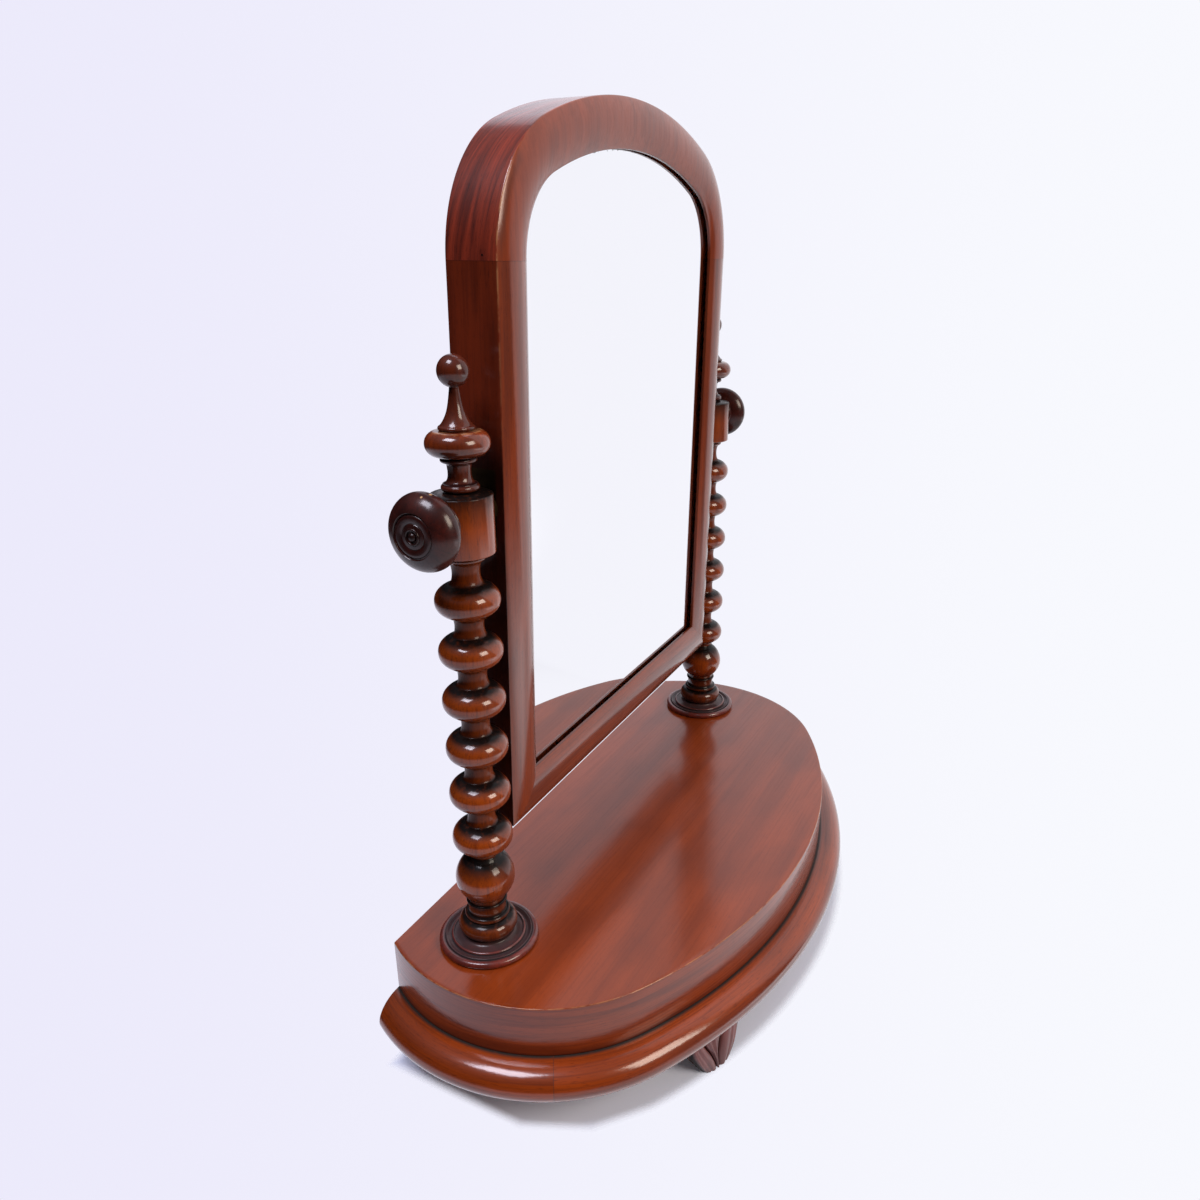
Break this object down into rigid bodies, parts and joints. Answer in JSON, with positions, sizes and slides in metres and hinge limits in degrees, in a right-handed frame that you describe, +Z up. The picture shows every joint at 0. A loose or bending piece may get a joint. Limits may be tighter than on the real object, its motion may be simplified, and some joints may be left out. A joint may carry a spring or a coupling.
{
  "type": "dressing table mirror",
  "caption": "Swing toilet mirror: arched frame pivoting between bobbin-turned columns on a bow-fronted plinth, clamped by turned side knobs.",
  "frame": {"origin": "on the floor, under the middle of the box round the stand's base", "axes": "+Z up, +X towards the right column as seen from the front, so the glass faces -Y"},
  "size_m": [0.496, 0.2229, 0.5795],
  "materials": {
    "mahogany": "French polished, red-brown",
    "carved_mahogany": "carved, dull dark wax in the grooves",
    "ebonised_wood": "turned, stained almost black under polish",
    "pine": "bare softwood, aged",
    "mirror_glass": "silvered plate glass",
    "brass": "plain, slightly tarnished",
    "steel": "plain turned steel"
  },
  "bodies": {
    "stand": {"base_board": "pine", "base_moulding_front": "mahogany", "base_moulding_corner_left": "mahogany", "base_moulding_corner_right": "mahogany", "base_moulding_side_left": "mahogany", "base_moulding_side_right": "mahogany", "plinth_core": "pine", "plinth_edge_veneer": "mahogany", "plinth_top_veneer": "mahogany", "front_foot_left": "carved_mahogany", "front_foot_right": "carved_mahogany", "rear_foot_left": "pine", "rear_foot_right": "pine", "foot_screws": "steel", "column_screws": "steel", "column_collar_left": "ebonised_wood", "column_collar_right": "ebonised_wood", "column_left": "mahogany", "column_right": "mahogany", "finial_left": "mahogany", "finial_right": "mahogany"},
    "mirror": {"frame_stile_left": "mahogany", "frame_stile_right": "mahogany", "frame_bottom_rail": "mahogany", "frame_haunch_left": "mahogany", "frame_haunch_right": "mahogany", "frame_crown": "mahogany", "frame_dowels": "pine", "mirror_glass": "mirror_glass", "glass_blocks": "pine", "backboard": "pine", "backboard_screws": "brass", "pivot_plate_left": "brass", "pivot_plate_right": "brass", "pivot_plate_screws": "brass", "pivot_washer_left": "brass", "pivot_washer_right": "brass"},
    "knob_slide_left": {"knob_washer_left": "brass"},
    "knob_slide_right": {"knob_washer_right": "brass"},
    "knob_left": {"knob_left": "ebonised_wood", "clamp_screw_left": "steel"},
    "knob_right": {"knob_right": "ebonised_wood", "clamp_screw_right": "steel"}
  },
  "joints": [
    {"name": "mirror_tilt", "type": "hinge", "parent": "stand", "child": "mirror", "pos_m": [0, 0.0615, 0.3612], "axis": [1, 0, 0], "continuous": true},
    {"name": "knob_left_travel", "type": "slide", "parent": "stand", "child": "knob_slide_left", "axis": [-1, 0, 0], "range_m": [0, 0.003]},
    {"name": "knob_left_turn", "type": "hinge", "parent": "knob_slide_left", "child": "knob_left", "pos_m": [-0.2, 0.0615, 0.3612], "axis": [-1, 0, 0], "range_deg": [0, 720]},
    {"name": "knob_right_travel", "type": "slide", "parent": "stand", "child": "knob_slide_right", "axis": [1, 0, 0], "range_m": [0, 0.003]},
    {"name": "knob_right_turn", "type": "hinge", "parent": "knob_slide_right", "child": "knob_right", "pos_m": [0.2, 0.0615, 0.3612], "axis": [1, 0, 0], "range_deg": [0, 720]}
  ],
  "couplings": [
    {"joint": "knob_left_travel", "follows": "knob_left_turn", "m_per_rad": 0.0002387},
    {"joint": "knob_right_travel", "follows": "knob_right_turn", "m_per_rad": 0.0002387}
  ]
}
